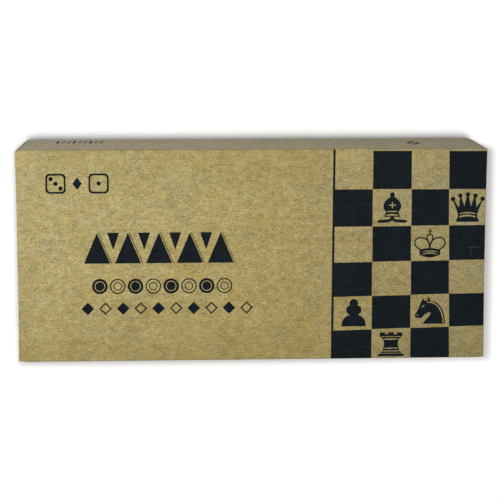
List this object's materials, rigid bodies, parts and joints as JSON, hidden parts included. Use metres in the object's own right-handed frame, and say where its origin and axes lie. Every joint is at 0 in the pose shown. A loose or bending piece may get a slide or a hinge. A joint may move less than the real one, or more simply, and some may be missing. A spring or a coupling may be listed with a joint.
{
  "type": "games compendium box",
  "caption": "Flat tuck-end carton of fluted kraft board with a chequered print, holding a hinged wooden board case with chessmen, draughts and dice.",
  "frame": {"origin": "middle of the back panel's outside face, on which the closed carton lies", "axes": "+X along the length, to the right of the printed front; +Y up the printed front; +Z out of the printed front"},
  "size_m": [0.3, 0.137, 0.058],
  "materials": {
    "kraft_board": "uncoated brown fluted board, matt, with fibres",
    "printing_ink": "blue-black ink sunk into the board, matt",
    "birch_ply": "satin varnish",
    "beech": "satin varnish",
    "brass": "plated, bright",
    "boxwood": "lacquered",
    "ebonised_wood": "lacquered",
    "ivory_plastic": "polished"
  },
  "bodies": {
    "carton": {"carton_sleeve": "kraft_board", "glue_tab": "kraft_board"},
    "right_end": {"right_closure": "kraft_board"},
    "right_tuck": {"right_tongue": "kraft_board"},
    "right_dust_far": {"right_dust_flap_far": "kraft_board"},
    "right_dust_near": {"right_dust_flap_near": "kraft_board"},
    "left_end": {"left_closure": "kraft_board"},
    "left_tuck": {"left_tongue": "kraft_board"},
    "left_dust_far": {"left_dust_flap_far": "kraft_board"},
    "left_dust_near": {"left_dust_flap_near": "kraft_board"},
    "wooden_case": {"lower_panel": "birch_ply", "lower_hinge_rail": "beech", "lower_hook_rail": "beech", "lower_left_rail": "beech", "lower_right_rail": "beech", "upper_panel": "birch_ply", "upper_hinge_rail": "beech", "upper_hook_rail": "beech", "upper_left_rail": "beech", "upper_right_rail": "beech", "left_hinge_lower_leaf": "brass", "left_hinge_upper_leaf": "brass", "left_hinge_pin": "brass", "right_hinge_lower_leaf": "brass", "right_hinge_upper_leaf": "brass", "right_hinge_pin": "brass", "lower_hinge_screws": "brass", "upper_hinge_screws": "brass", "hook_pivot_screws": "brass", "hook_catch_screws": "brass", "light_king": "boxwood", "light_queen": "boxwood", "light_bishops": "boxwood", "light_knights": "boxwood", "light_rooks": "boxwood", "light_pawns": "boxwood", "dark_king": "ebonised_wood", "dark_queen": "ebonised_wood", "dark_bishops": "ebonised_wood", "dark_knights": "ebonised_wood", "dark_rooks": "ebonised_wood", "dark_pawns": "ebonised_wood", "light_draughts": "boxwood", "dark_draughts": "ebonised_wood", "dice": "ivory_plastic"},
    "left_catch": {"left_hook": "brass"},
    "right_catch": {"right_hook": "brass"}
  },
  "joints": [
    {"name": "right_closure_fold", "type": "hinge", "parent": "carton", "child": "right_end", "pos_m": [0.14925, 0, 0.00075], "axis": [0, 1, 0], "range_deg": [0, 90]},
    {"name": "right_tongue_fold", "type": "hinge", "parent": "right_end", "child": "right_tuck", "pos_m": [0.14925, 0, 0.05513], "axis": [0, -1, 0], "range_deg": [0, 45]},
    {"name": "right_dust_far_fold", "type": "hinge", "parent": "carton", "child": "right_dust_far", "pos_m": [0.1475, 0.06775, 0.029], "axis": [0, 0, 1], "range_deg": [0, 90]},
    {"name": "right_dust_near_fold", "type": "hinge", "parent": "carton", "child": "right_dust_near", "pos_m": [0.1475, -0.06775, 0.029], "axis": [0, 0, -1], "range_deg": [0, 90]},
    {"name": "left_closure_fold", "type": "hinge", "parent": "carton", "child": "left_end", "pos_m": [-0.14925, 0, 0.00075], "axis": [0, -1, 0], "range_deg": [0, 90]},
    {"name": "left_tongue_fold", "type": "hinge", "parent": "left_end", "child": "left_tuck", "pos_m": [-0.14925, 0, 0.05513], "axis": [0, 1, 0], "range_deg": [0, 45]},
    {"name": "left_dust_far_fold", "type": "hinge", "parent": "carton", "child": "left_dust_far", "pos_m": [-0.1475, 0.06775, 0.029], "axis": [0, 0, -1], "range_deg": [0, 90]},
    {"name": "left_dust_near_fold", "type": "hinge", "parent": "carton", "child": "left_dust_near", "pos_m": [-0.1475, -0.06775, 0.029], "axis": [0, 0, 1], "range_deg": [0, 90]},
    {"name": "case_play", "type": "slide", "parent": "carton", "child": "wooden_case", "axis": [1, 0, 0], "range_m": [-0.003, 0.003]},
    {"name": "left_hook_swing", "type": "hinge", "parent": "wooden_case", "child": "left_catch", "pos_m": [-0.085, -0.0648, 0.03958], "axis": [0, -1, 0], "range_deg": [0, 100]},
    {"name": "right_hook_swing", "type": "hinge", "parent": "wooden_case", "child": "right_catch", "pos_m": [0.085, -0.0648, 0.03958], "axis": [0, -1, 0], "range_deg": [0, 100]}
  ],
  "couplings": [
    {"joint": "right_tongue_fold", "follows": "right_closure_fold", "ratio": 0.5},
    {"joint": "right_dust_far_fold", "follows": "right_closure_fold", "ratio": 1},
    {"joint": "right_dust_near_fold", "follows": "right_closure_fold", "ratio": 1},
    {"joint": "left_tongue_fold", "follows": "left_closure_fold", "ratio": 0.5},
    {"joint": "left_dust_far_fold", "follows": "left_closure_fold", "ratio": 1},
    {"joint": "left_dust_near_fold", "follows": "left_closure_fold", "ratio": 1}
  ]
}
